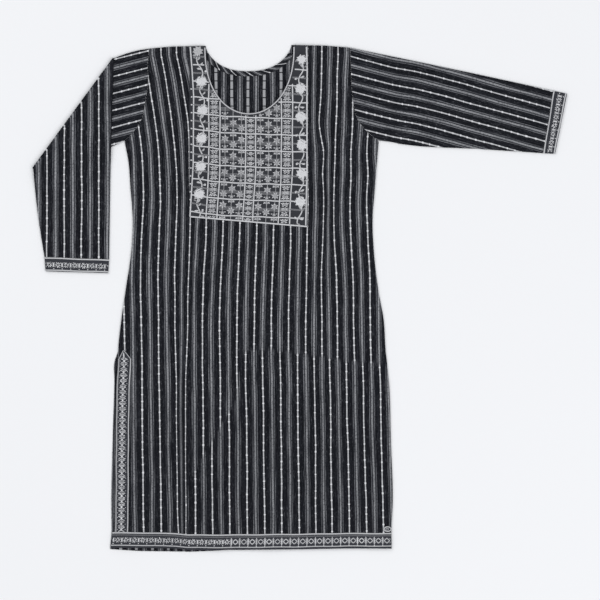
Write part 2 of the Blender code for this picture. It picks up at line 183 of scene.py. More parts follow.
def through(xs, ys, at):
    """A smooth curve through a short table."""
    slopes = np.gradient(ys, xs)
    i = np.clip(np.searchsorted(xs, at) - 1, 0, len(xs) - 2)
    wide = xs[i + 1] - xs[i]
    t = np.clip((at - xs[i]) / wide, 0.0, 1.0)
    return ((2 * t ** 3 - 3 * t ** 2 + 1) * ys[i] + (t ** 3 - 2 * t ** 2 + t) * wide * slopes[i]
            + (3 * t ** 2 - 2 * t ** 3) * ys[i + 1] + (t ** 3 - t ** 2) * wide * slopes[i + 1])


def edge(below, which):
    below = np.asarray(below, float)
    upper = through(OUTLINE[:CORNER + 1, 0], OUTLINE[:CORNER + 1, which], below)
    lower = through(OUTLINE[CORNER:, 0], OUTLINE[CORNER:, which], below)
    lower = np.where(below > 0.974, np.interp(below, OUTLINE[:, 0], OUTLINE[:, which]), lower)
    return np.where(below < UNDERARM, upper, lower)


def shoulder(across):
    return np.interp(across, SHOULDER_LINE[:, 0], SHOULDER_LINE[:, 1])


def front_neck(across, inset=0.0):
    share = np.clip(np.abs(across - NECK_CENTRE) / (NECK_HALF - inset), 0.0, 1.0)
    return shoulder(across) + (NECK_DEPTH - inset) * (1 - share ** 2) ** 0.42


def back_neck(across):
    share = np.clip(np.abs(across) / BACK_NECK_HALF, 0.0, 1.0)
    return shoulder(across) + BACK_NECK_DEPTH * (1 - share ** 2.4) ** 0.65


def front_hem(across):
    return np.interp(across, HEM_LINE[:, 0], HEM_LINE[:, 1])


def back_hem(across):
    return np.interp(across, HEM_LINE[:, 0], HEM_LINE[:, 2])


def creases(across, below, table):
    total = np.zeros(np.broadcast(across, below).shape)
    for ax, ab, bx, bb, width, height in table:
        run = math.hypot(bx - ax, bb - ab)
        ux, ub = (bx - ax) / run, (bb - ab) / run
        s = (across - ax) * ux + (below - ab) * ub
        bend = 0.25 * width * np.sin(s / 0.045 + ax * 40)
        d = (across - ax) * ub - (below - ab) * ux + bend
        fade = smooth(s / (0.25 * run) + 0.15) * smooth((run - s) / (0.25 * run) + 0.15)
        total += height * np.exp(-(d / width) ** 2) * fade
    return total


def waves(across, below, seed):
    """Low uneven relief, as cotton keeps after folding."""
    total = np.zeros(np.broadcast(across, below).shape)
    source = random.Random(seed)
    for k in range(9):
        turn = source.uniform(0, math.pi)
        size = source.uniform(0.035, 0.13)
        phase = source.uniform(0, 6.28)
        total += size * np.sin((across * math.cos(turn) + 0.6 * below * math.sin(turn)) * 6.28 / size + phase)
    return total * 0.0026


def front_under(across, below):
    to_side = np.minimum(across + edge(below, FRONT_LEFT), edge(below, RIGHT) - across)
    soft = smooth(to_side / 0.060) * smooth((below + 0.010) / 0.050) * smooth((BODY_LENGTH + 0.02 - below) / 0.080)
    return CLOTH + GAP + PUFF * soft


def front_top(across, below):
    """The front panel's outer face."""
    to_side = np.minimum(across + edge(below, FRONT_LEFT), edge(below, RIGHT) - across)
    calm = smooth(to_side / 0.03)
    relief = creases(across, below, CREASES) + waves(across, below, 3)
    hem_waves = 0.0006 * np.sin(across / 0.021) * smooth((below - 0.98) / 0.05)
    rolled = -0.0007 * smooth(1 - to_side / 0.005)
    return front_under(across, below) + CLOTH + calm * np.maximum(relief, -0.0005) + hem_waves + rolled


def world(across, below, z):
    return np.stack(np.broadcast_arrays(CENTRE_X + across, SHOULDER_Y - below, z), -1)


# ---- where the stripes run
def stripes_at(step, along, turned=0.0):
    """The stripe attribute: half steps across the stripes, metres along them, and where they swap."""
    return np.stack(np.broadcast_arrays(step, along, turned), -1)


def body_stripe(across, below):
    across, below = np.broadcast_arrays(across, below)
    lines = [through(STRIPES[:, 0], STRIPES[:, k + 1], below) for k in range(len(STEPS))]
    step = np.full(across.shape, np.nan)
    for k in range(len(STEPS) - 1):
        last = k == len(STEPS) - 2
        inside = ((across < lines[k + 1]) | last) & np.isnan(step)
        t = (across - lines[k]) / (lines[k + 1] - lines[k])
        step = np.where(inside, lerp(STEPS[k], STEPS[k + 1], t), step)
    line = np.interp(across, TURNOVER[:, 0], TURNOVER[:, 1])
    return stripes_at(step, below, smooth((below - line) / 0.010 + 0.5) * (across > TURNOVER_FROM))


def back_stripe(across, below):
    return stripes_at(np.interp(across, *BACK_STRIPES), below)


# Each sleeve part counts its steps from a number of its own, so that no two have the same slubs.
def right_sleeve_stripe(across, below):
    step = 60 + 2 * (below - 0.262 * (across - 0.42315) - 0.07379) / SLEEVE_REPEAT
    bend = 0.0875 * np.sin((across - 0.25) / 0.085) * smooth((across - 0.24) / 0.1)
    return stripes_at(step + bend - 0.17 * (1 - smooth((across - 0.30) / 0.06)), across)


def left_arm_stripe(across, below):
    return stripes_at(100 + 2 * (below + 0.262 * (across + 0.27405) - 0.0265) / ARM_REPEAT, across)


def left_forearm_stripe(across, below):
    return stripes_at(140 + 2 * (across + 0.3144) / FOREARM_REPEAT, below)


# ---- mesh tools
def make_object(name, verts, faces, material, attributes, sharp=40):
    mesh = bpy.data.meshes.new(name)
    mesh.from_pydata([tuple(v) for v in verts], [], faces)
    for key, values in attributes.items():
        layer = mesh.attributes.new(key, "FLOAT_VECTOR", "POINT")
        layer.data.foreach_set("vector", np.ascontiguousarray(values, np.float32).ravel())
    mesh.materials.append(material)
    mesh.shade_smooth()
    mesh.set_sharp_from_angle(angle=math.radians(sharp))
    obj = bpy.data.objects.new(name, mesh)
    bpy.context.scene.collection.objects.link(obj)
    return obj


def grid_faces(wide, tall, offset=0, flip=False):
    faces = []
    for i in range(wide - 1):
        for j in range(tall - 1):
            a = offset + i * tall + j
            quad = (a, a + tall, a + tall + 1, a + 1)
            faces.append(quad[::-1] if flip else quad)
    return faces


def shell(name, across, below, top, material, stripe=None, wall=WALL):
    """A closed sheet of cloth: a grid of points, its outer face at top. Columns run from the hem up."""
    wide, tall = across.shape
    count = wide * tall
    soft = np.zeros(across.shape)
    soft[0, :] = soft[-1, :] = soft[:, 0] = soft[:, -1] = 0.25 * wall
    upper = world(across, below, top - soft).reshape(-1, 3)
    lower = world(across, below, top - wall + soft).reshape(-1, 3)
    faces = grid_faces(wide, tall) + grid_faces(wide, tall, count, flip=True)
    rim = [(i, 0) for i in range(wide)] + [(wide - 1, j) for j in range(1, tall)]
    rim += [(i, tall - 1) for i in range(wide - 2, -1, -1)] + [(0, j) for j in range(tall - 2, 0, -1)]
    flat = [i * tall + j for i, j in rim]
    for a, b in zip(flat, flat[1:] + flat[:1]):
        faces.append((b, a, a + count, b + count))
    values = {} if stripe is None else {"stripe": np.concatenate([stripe.reshape(-1, 3)] * 2)}
    return make_object(name, np.concatenate([upper, lower]), faces, material, values)


def body_columns(half, centre, neck_steps, shoulder_steps):
    neck = centre - half * np.cos(np.pi * np.arange(neck_steps + 1) / neck_steps)
    left = np.linspace(YOKE_LEFT, neck[0], shoulder_steps + 1)[:-1]
    right = np.linspace(neck[-1], YOKE_RIGHT, shoulder_steps + 1)[1:]
    return np.concatenate([left, neck, right])


def body_grid(half, centre, neck, hem, side, rows, side_steps, neck_steps, shoulder_steps):
    """Columns of points from side seam to side seam: between the yoke's edges they are upright."""
    share = np.concatenate([[0, 0.25, 0.6], np.linspace(1, rows, rows)]) / rows
    columns = []
    for k in range(side_steps):
        t = k / side_steps
        foot, head = lerp(-edge(HEM_LEVEL, side), YOKE_LEFT, t), lerp(-0.208, YOKE_LEFT, t)
        b = lerp(hem(foot), shoulder(head), share)
        columns.append((lerp(-edge(b, side), YOKE_LEFT, t), b))
    for a in body_columns(half, centre, neck_steps, shoulder_steps):
        columns.append((np.full(share.shape, a), lerp(hem(a), neck(a), share)))
    for k in range(1, side_steps + 1):
        t = k / side_steps
        foot, head = lerp(YOKE_RIGHT, edge(HEM_LEVEL, RIGHT), t), lerp(YOKE_RIGHT, 0.213, t)
        b = lerp(hem(foot), shoulder(head), share)
        columns.append((lerp(YOKE_RIGHT, edge(b, RIGHT), t), b))
    return np.array(columns).transpose(1, 0, 2)


# ---- materials
class Value:
    """A node's output that adds, subtracts and multiplies like a number."""

    def __init__(self, nodes, socket):
        self.nodes, self.socket = nodes, socket

    def __add__(self, other):
        return self.nodes.math("ADD", self, other)

    def __sub__(self, other):
        return self.nodes.math("SUBTRACT", self, other)

    def __rsub__(self, other):
        return self.nodes.math("SUBTRACT", other, self)

    def __mul__(self, other):
        return self.nodes.math("MULTIPLY", self, other)


class Nodes:
    """A short way to write a material's node tree."""

    def __init__(self, name):
        self.material = bpy.data.materials.new(name)
        self.material.use_nodes = True
        self.tree = self.material.node_tree
        self.shader = self.tree.nodes["Principled BSDF"]

    def put(self, socket, value):
        if isinstance(value, Value):
            self.tree.links.new(value.socket, socket)
        elif value is not None:
            socket.default_value = value

    def node(self, kind, *values, **settings):
        """A new node with its first inputs filled in; gives its outputs."""
        node = self.tree.nodes.new("ShaderNode" + kind)
        for key, setting in settings.items():
            setattr(node, key, setting)
        for socket, value in zip(node.inputs, values):
            self.put(socket, value)
        return [Value(self, socket) for socket in node.outputs]

    def math(self, operation, *values):
        return self.node("Math", *values, operation=operation)[0]

    def fit(self, value, times, plus):
        return self.math("MULTIPLY_ADD", value, times, plus)

    def attribute(self, name):
        return self.node("SeparateXYZ", self.node("Attribute", attribute_name=name)[1])

    def position(self):
        """The point in the object's own frame."""
        return self.node("TexCoord")[3]

    def vector(self, x, y, z=0.0):
        return self.node("CombineXYZ", x, y, z)[0]

    def noise(self, vector, scale=1.0, detail=2.0, rough=0.5):
        return self.node("TexNoise", vector, None, scale, detail, rough)[0]

    def ramp(self, value, low, high, to_low=0.0, to_high=1.0):
        limits = (low, high, to_low, to_high)
        return self.node("MapRange", value, *limits, interpolation_type="SMOOTHSTEP")[0]

    def mix(self, share, first, second):
        colours = [(*c, 1.0) if isinstance(c, tuple) else c for c in (first, second)]
        return self.node("Mix", share, None, None, None, None, None, *colours, data_type="RGBA")[2]

    def weave(self, across, along):
        """Plain weave, about a thread every half millimetre, as a height from 0 to 1."""
        warp, weft = (self.math("SINE", v * (6.2832 / 0.0011)) for v in (across, along))
        return self.fit(warp * weft, 0.5, 0.5)

    def bump(self, height, distance, strength):
        node = self.tree.nodes.new("ShaderNodeBump")
        self.put(node.inputs["Height"], height)
        node.inputs["Distance"].default_value = distance
        node.inputs["Strength"].default_value = strength
        self.tree.links.new(node.outputs[0], self.shader.inputs["Normal"])

    def finish(self, colour, roughness, sheen=0.05, shine=0.08):
        self.put(self.shader.inputs["Base Color"], colour)
        self.put(self.shader.inputs["Roughness"], roughness)
        self.shader.inputs["Specular IOR Level"].default_value = shine
        self.shader.inputs["Sheen Weight"].default_value = sheen
        self.shader.inputs["Sheen Roughness"].default_value = 0.5
        return self.material


INK = (0.0044, 0.0050, 0.0076)
SLATE = (0.028, 0.030, 0.038)
HAIRLINE = (0.115, 0.119, 0.134)
GREY_HALO = (0.060, 0.063, 0.075)
GREY_SIDE = (0.22, 0.226, 0.242)
GREY_CORE = (0.34, 0.346, 0.362)
WHITE = (0.80, 0.806, 0.825)
HALF_STEP = 0.01805                 # metres of cloth in half a repeat


def striped_cloth(name, inside=False):
    """Even steps are white slub lines, odd steps grey bands with a hairline on each side."""
    n = Nodes(name)
    step, along, turned = n.attribute("stripe")
    number = n.math("ROUND", step)
    position = n.position()

    def grain(across_rate, along_rate, z=0.0, detail=2.0, rough=0.5):
        return n.noise(n.vector(step * across_rate, along * along_rate, z), 1.0, detail, rough)

    def of_stripe(stripe_rate, along_rate, z=0.0, detail=2.0):
        """Noise that is the same all across one stripe."""
        return n.noise(n.vector(number * stripe_rate, along * along_rate, z), 1.0, detail)

    # metres from the nearest even and from the nearest odd step
    to_even = n.math("PINGPONG", n.fit(grain(0.5, 8.0) - 0.5, 0.26, step) + 200.0, 1.0) * HALF_STEP
    to_odd = HALF_STEP - to_even
    # knots of the slub yarn, one about every 16 mm
    beat = n.math("PINGPONG", along + of_stripe(7.3, 22.0) * 0.020 + number * 0.0053, 0.0082)
    knots = n.ramp(beat, 0.0024, 0.0005) * n.ramp(of_stripe(5.1, 48.0, 0.0, 1.0), 0.26, 0.52)
    fleck = of_stripe(3.1, 330.0, 0.0, 3.0)
    patch = of_stripe(2.3, 30.0, 5.0)
    threads = grain(15.0, 7.0, 3.0, 3.0, 0.6)
    hair = grain(27.0, 26.0, 8.0, 2.0, 0.6)
    dust = grain(6.0, 120.0, 2.0, 3.0, 0.65)
    streak = grain(13.0, 11.0, 6.0, 2.0, 0.55)
    speckle = grain(11.0, 260.0, 4.0, 2.0, 0.6)
    half = 0.0030 if inside else n.fit(knots, 0.00062, n.fit(fleck, 0.0007, 0.00082))

    def slub(distance):
        return n.ramp(distance - half, 0.0005, -0.0005)

    def core(distance):
        return n.ramp(distance, 0.0025, 0.0010) * n.fit(patch, 1.1, 0.34)

    def hairlines(distance):
        line = n.ramp(n.math("ABSOLUTE", distance - 0.0049), 0.0013, 0.0005)
        return line * n.ramp(streak, 0.40, 0.58, 0.0, 0.95)

    def halo(distance):
        return n.ramp(distance, 0.0066, 0.0030)

    def laid(mask, here, swapped):
        """A mask that moves from one set of steps to the other where the stripes change places."""
        return mask(here) * (1.0 - turned) + mask(swapped) * turned

    ground = n.mix(n.ramp(threads, 0.42, 0.76), INK, SLATE)
    ground = n.mix(n.ramp(hair, 0.54, 0.70) * n.ramp(dust, 0.35, 0.65), ground, HAIRLINE)
    ground = n.mix(n.ramp(dust, 0.56, 0.76) * 0.55, ground, HAIRLINE)
    colour = n.mix(laid(halo, to_odd, to_even) * 0.38, ground, GREY_HALO)
    colour = n.mix(laid(hairlines, to_odd, to_even), colour, GREY_SIDE)
    colour = n.mix(laid(core, to_odd, to_even), colour, GREY_CORE)
    colour = n.mix(n.ramp(speckle, 0.54, 0.30) * 0.75, colour, INK)
    colour = n.mix(n.ramp(along, 0.66, 0.80, 0.0, 0.20), colour, INK)
    white = laid(slub, to_even, to_odd)
    if inside:
        white = white * n.ramp(n.math("PINGPONG", along + 1.0, 0.0088), 0.0006, 0.0016)
        colour = n.mix(white * 0.7, colour, GREY_CORE)
        colour = n.mix(white * 0.25, colour, WHITE)
    else:
        bright = n.math("MINIMUM", n.fit(fleck, 0.45, 0.45) + knots * 0.36, 1.0)
        colour = n.mix(white * bright, colour, WHITE)
    height = n.weave(step * HALF_STEP, along) * 0.45 + white * 0.5
    height = height + n.noise(position, 900.0) * 0.3 + n.noise(position, 160.0, 3.0) * 1.2
    n.bump(height, 0.0005, 0.6)
    return n.finish(colour, n.ramp(threads, 0.2, 0.8, 0.86, 0.96))


def plain_ground(name, dark, light):
    """The dark, closely woven ground under the embroidery and of the border tape."""
    n = Nodes(name)
    position = n.position()
    grain = n.noise(position, 1400.0)
    colour = n.mix(n.fit(n.noise(position, 60.0, 3.0), 0.6, grain * 0.4), dark, light)
    x, y, _ = n.node("SeparateXYZ", position)
    n.bump(n.weave(x, y) + grain * 0.5, 0.0004, 0.5)
    return n.finish(colour, 0.92)


def thread(name, pale, grey):
    """Embroidery thread: the stitch attribute holds metres across the threads, metres along, and tone."""
    n = Nodes(name)
    across, along, tone = n.attribute("stitch")
    ply = n.fit(n.math("SINE", across * (6.2832 / 0.00075)), 0.5, 0.5)
    fibre = n.noise(n.vector(across * 900.0, along * 260.0), 1.0, 3.0)
    colour = n.mix(tone, grey, pale)
    # painted shade: the grooves between the thread's plies, low in the bump, are darkened in the colour
    colour = n.mix((1.0 - ply) * 0.22, colour, (0.16, 0.16, 0.17))
    colour = n.mix(n.ramp(fibre, 0.45, 0.75) * 0.25, colour, (0.86, 0.86, 0.86))
    n.bump(ply * 0.7 + fibre * 0.4, 0.0003, 0.7)
    return n.finish(colour, 0.62, 0.1, 0.25)


CLOTH_MATERIAL = striped_cloth("striped cotton")
INSIDE_MATERIAL = striped_cloth("striped cotton, inner face", inside=True)
YOKE_MATERIAL = plain_ground("yoke ground", (0.022, 0.0235, 0.029), (0.060, 0.062, 0.070))
TAPE_MATERIAL = plain_ground("border ground", (0.024, 0.026, 0.033), (0.060, 0.062, 0.072))
THREAD_MATERIAL = thread("embroidery thread", (0.88, 0.885, 0.90), (0.10, 0.102, 0.112))
CORD_MATERIAL = thread("piping cord", (0.70, 0.70, 0.72), (0.30, 0.30, 0.315))


def place(obj, slot, *nodes):
    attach(obj, "root")
    if nodes:
        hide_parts(*nodes)
    return obj


# ---- panels
def over_front(across, below):
    """Outer face of what is sewn on the front."""
    return front_top(across, below) + GAP + SEWN_WALL


def yoke_low(across):
    return lerp(YOKE_LOW_LEFT, YOKE_LOW_RIGHT, (across - YOKE_LEFT) / (YOKE_RIGHT - YOKE_LEFT))


a, b = body_grid(BACK_NECK_HALF, 0.0, back_neck, back_hem, BACK_LEFT, 150, 14, 40, 4)
back = shell("back_panel_cloth", a, b, WALL + 0.0 * a, INSIDE_MATERIAL, back_stripe(a, b))
place(back, "striped_cotton", "back_panel")

a, b = body_grid(NECK_HALF, NECK_CENTRE, front_neck, front_hem, FRONT_LEFT, 190, 22, 60, 6)
front = shell("front_panel_cloth", a, b, front_top(a, b), CLOTH_MATERIAL, body_stripe(a, b))
place(front, "striped_cotton", "front_panel")

a = np.repeat(body_columns(NECK_HALF, NECK_CENTRE, 60, 6)[:, None], 80, 1)
b = lerp(yoke_low(a), front_neck(a), np.linspace(0, 1, 80)[None, :])
yoke = shell("neck_yoke_cloth", a, b, over_front(a, b), YOKE_MATERIAL)
place(yoke, "embroidered_yoke", "neck_yoke")

# the slanted-cut strip inside the back neck
fa = -BACK_NECK_HALF * np.cos(np.pi * np.linspace(0.11, 0.89, 70))
fb = back_neck(fa)
slope = np.gradient(fb, fa)
norm = np.sqrt(1 + slope ** 2)
shares = (1.0, 0.66, 0.33, 0.0)
a = np.stack([fa - slope / norm * FACING_WIDTH * s for s in shares], 1)
b = np.stack([fb + FACING_WIDTH / norm * s for s in shares], 1)
run = np.concatenate([[0], np.cumsum(np.hypot(np.diff(fa), np.diff(fb)))])[:, None]
slant = 1.5 * np.array([0.0105, 0.007, 0.0035, 0.0])
stripe = stripes_at(2 * (run - slant) / 0.034 + 320.6, run)
facing = shell("back_neck_facing_cloth", a, b, 0.0019 + 0.0 * a, CLOTH_MATERIAL, stripe, SEWN_WALL)
place(facing, "striped_cotton", "back_neck_facing")


# ---- sleeves
MIDDLE = CLOTH + GAP / 2            # half the height of a flat sleeve
SEAM_SHIFT = 0.0008                 # a sleeve starts this far outside the body's edge


def tube_profile(width, low, steps=26, rounds=6):
    """A flat tube's cross-section: places across it and heights. Low is how far in from the outer face."""
    inset = MIDDLE / width
    radius = MIDDLE - low
    shares = list(np.linspace(inset, 1 - inset, steps))
    turns = [math.pi * (k / rounds - 0.5) for k in range(1, rounds)]
    share = shares + [1 - (inset - radius / width * math.cos(turn)) for turn in turns]
    share += shares[::-1] + [inset - radius / width * math.cos(turn) for turn in turns]
    rise = [MIDDLE + radius * math.sin(turn) for turn in turns]
    return np.array(share), np.array([low] * steps + rise + [2 * MIDDLE - low] * steps + rise[::-1])


def tube(name, stations, material, wall=WALL):
    """A flat open tube of cloth. A station is (line across, lift, stripes of both layers, relief)."""
    rings, stripes = [], []
    for line, lift, (top, bottom), relief in stations:
        ends = np.array(line(np.array([0.0, 1.0]))).T
        for low in (0.0, wall):
            share, height = tube_profile(float(np.hypot(*(ends[1] - ends[0]))), low)
            point = line(share)
            upper = height > MIDDLE
            shape = np.where(upper, np.sin(np.pi * np.clip(share, 0, 1)), 0.0)
            rings.append(lift(point, height, relief(point, share) * shape))
            stripes.append(np.where(upper[:, None], top(*point), bottom(*point)))
    count, total = len(rings[0]), len(stations)
    step = 2 * count
    faces = []
    for i in range(total):
        for k in range(count):
            m = (k + 1) % count
            outer, inner = i * step, i * step + count
            if i < total - 1:
                faces.append((outer + k, outer + m, outer + m + step, outer + k + step))
                faces.append((inner + m, inner + k, inner + k + step, inner + m + step))
            if i in (0, total - 1):
                quad = (outer + m, outer + k, inner + k, inner + m)
                faces.append(quad[::-1] if i else quad)
    return make_object(name, np.concatenate(rings), faces, material, {"stripe": np.concatenate(stripes)})


def flat(point, height, raised):
    return world(point[0], point[1], height + raised)


def straight(ends):
    return lambda share: (lerp(ends[0][0], ends[1][0], share), lerp(ends[0][1], ends[1][1], share))


def between(first, second, t):
    def line(share):
        p, q = first(share), second(share)
        return (lerp(p[0], q[0], t), lerp(p[1], q[1], t))
    return line


def armhole(side):
    def line(share):
        below = lerp(SHOULDER_LINE[-1 if side > 0 else 0][1], UNDERARM, np.clip(share, 0, 1))
        return (side * (edge(below, RIGHT if side > 0 else FRONT_LEFT) + SEAM_SHIFT), below)
    return line


def spline(points, t):
    points = np.array(points)
    return [through(np.linspace(0, 1, len(points)), points[:, k], np.array(t)) for k in (0, 1)]


RIGHT_SEAM = (RIGHT_TOP_EDGE[-1], RIGHT_LOW_EDGE[-1])


def right_line(t):
    plain = between(armhole(1), straight(RIGHT_SEAM), t)
    ends = plain(np.array([0.0, 1.0]))
    top, low = spline(RIGHT_TOP_EDGE, t), spline(RIGHT_LOW_EDGE, t)
    fade = min(1.0, 6 * t, 6 * (1 - t))

    def line(share):
        p = plain(share)
        return tuple(p[k] + fade * lerp(top[k] - ends[k][0], low[k] - ends[k][1], share) for k in (0, 1))
    return line


def right_relief(t):
    puff = SLEEVE_PUFF * float(smooth(4 * t + 0.25))
    return lambda point, share: puff + np.maximum(creases(*point, RIGHT_SLEEVE_CREASES) + waves(*point, 5), -0.0004)


def no_relief(point, share):
    return 0.0 * share


RIGHT_STRIPES = (right_sleeve_stripe, lambda p, q: right_sleeve_stripe(p, 0.052 + 0.45 * p - q))
stations = [(right_line(k / 70), flat, RIGHT_STRIPES, right_relief(k / 70)) for k in range(71)]
sleeve_right = place(tube("sleeve_right_cloth", stations, CLOTH_MATERIAL), "striped_cotton", "sleeve_right")

FOLD_AXIS = 2 * CLOTH + 1.5 * GAP   # height of the line that the left sleeve turns round
(fold_a, fold_b), (fold_c, fold_d) = LEFT_FOLD
FOLD_LENGTH = math.hypot(fold_c - fold_a, fold_d - fold_b)
FOLD_RUN = ((fold_c - fold_a) / FOLD_LENGTH, (fold_d - fold_b) / FOLD_LENGTH)


def fold_lift(turn):
    def lift(point, height, raised):
        arm = FOLD_AXIS - height
        push = arm * math.sin(turn)
        return world(point[0] - abs(FOLD_RUN[1]) * push, point[1] - abs(FOLD_RUN[0]) * push,
                     FOLD_AXIS - arm * math.cos(turn))
    return lift


def folded_drop(across, below):
    """How far the forearm comes down to the table past the upper arm's lower edge."""
    start = -float(edge(UNDERARM, FRONT_LEFT)) - SEAM_SHIFT
    share = np.clip((across - start) / (fold_c - start), 0.0, 1.0)
    sag = ARM_SAG * 4 * share * (1 - share)
    return (2 * CLOTH + 2 * GAP) * smooth((below - lerp(UNDERARM, fold_d, share) - sag - 0.004) / 0.050)


def over_fold(rule):
    """The same rule seen from the other side of the fold: the point is mirrored in the fold line first."""
    def mirrored(across, below):
        s = (across - fold_a) * FOLD_RUN[0] + (below - fold_b) * FOLD_RUN[1]
        return rule(2 * (fold_a + s * FOLD_RUN[0]) - across, 2 * (fold_b + s * FOLD_RUN[1]) - below)
    return mirrored


def folded_over(point, height, raised):
    return world(point[0], point[1], 2 * FOLD_AXIS - height - folded_drop(*point))


def arm_line(t):
    def line(share):
        p = between(armhole(-1), straight(LEFT_FOLD), t)(share)
        return (p[0], p[1] + 4 * t * (1 - t) * (ARM_SAG * share ** 2 - ARM_RISE * (1 - share) ** 2))
    return line


def forearm_line(t):
    def line(share):
        p = between(straight(LEFT_FOLD), straight(LEFT_SEAM_END), t)(share)
        return (p[0] - math.sin(math.pi * t) * lerp(LEFT_INNER_BOW, LEFT_OUTER_BOW, share * share), p[1])
    return line


ARM_STRIPES = (left_arm_stripe, over_fold(left_forearm_stripe))
FOLD_STRIPES = (left_arm_stripe, left_forearm_stripe)
FOREARM_STRIPES = (over_fold(left_arm_stripe), left_forearm_stripe)
stations = [(arm_line(k / 20), flat, ARM_STRIPES, no_relief) for k in range(21)]
stations += [(straight(LEFT_FOLD), fold_lift(math.pi * k / 10), FOLD_STRIPES, no_relief) for k in range(1, 10)]
stations += [(forearm_line(k / 50), folded_over, FOREARM_STRIPES, no_relief) for k in range(51)]
sleeve_left = place(tube("sleeve_left_cloth", stations, CLOTH_MATERIAL), "striped_cotton", "sleeve_left")


# ---- border tapes
def cuff_tape(side, first, second):
    lines = [between(straight(first), straight(second), lerp(0.02, 1.0, k / 8)) for k in range(9)]
    stations = [(line, flat, (stripes_at, stripes_at), no_relief) for line in lines]
    tape = tube("cuff_border_" + side + "_tape", stations, TAPE_MATERIAL, 0.0009)
    return place(tape, "woven_border", "cuff_border_" + side)


def front_tape(name, across, below, raised=0.0):
    tape = shell(name + "_tape", across, below, over_front(across, below) + raised, TAPE_MATERIAL)
    return place(tape, "woven_border", name)


def hem_point(t, s):
    """A point of the hem tape: t runs from left to right, s from its lower edge to its upper one."""
    lower = lerp(-edge(1.056, FRONT_LEFT), edge(1.056, RIGHT), t)
    upper = lerp(-edge(1.024, FRONT_LEFT), edge(1.024, RIGHT), t)
    across = lerp(lower, upper, s)
    return across, front_hem(across) - HEM_BORDER * s


SLIT_LOW = float(front_hem(-0.27)) - HEM_BORDER - 0.0007


def slit_point(t, s):
    """A point of the slit's tape: t runs from the hem up, s from the slit's edge inwards."""
    below = lerp(SLIT_LOW, SLIT_TOP + SLIT_TIP, t)
    return -edge(np.minimum(below, 1.012), FRONT_LEFT) + 0.0007 + (BORDER - 0.0007) * s, below


cuff_right = cuff_tape("right", RIGHT_SEAM, RIGHT_CUFF_END)
cuff_left = cuff_tape("left", LEFT_SEAM_END, LEFT_CUFF_END)
t = np.linspace(0.0005, 0.9995, 121)[:, None]
hem_tape = front_tape("hem_border", *hem_point(t, np.linspace(-0.02, 1.0, 8)[None, :]))

a, b = slit_point(np.linspace(0, 1, 90)[None, :], np.linspace(0, 1, 9)[:, None])
b = np.broadcast_to(b, a.shape)
tip_a = -edge(SLIT_TOP, FRONT_LEFT) + BORDER * lerp(0.36, 0.48, np.linspace(0, 1, 9))
rise = np.linspace(0, 1, 5)[None, 1:]
a = np.concatenate([a, lerp(a[:, -1:], tip_a[:, None], rise)], 1)
b = np.concatenate([b, lerp(b[:, -1:], SLIT_TOP - 0.006, rise)], 1)
slit_tape = front_tape("slit_border_left", a, b)

turn = np.linspace(0, np.pi, 25)[:, None]
sides = np.linspace(1, -1, 7)[None, :]
a = 0.2920 - 0.0080 * np.cos(turn) + 0.0 * sides
b = 1.0150 + (0.0010 + 0.0053 * np.sin(turn)) * sides
dome = 0.0008 * np.sin(np.linspace(0, np.pi, 7))[None, :] * np.sin(turn)
curl = front_tape("slit_border_right", a, b, dome)


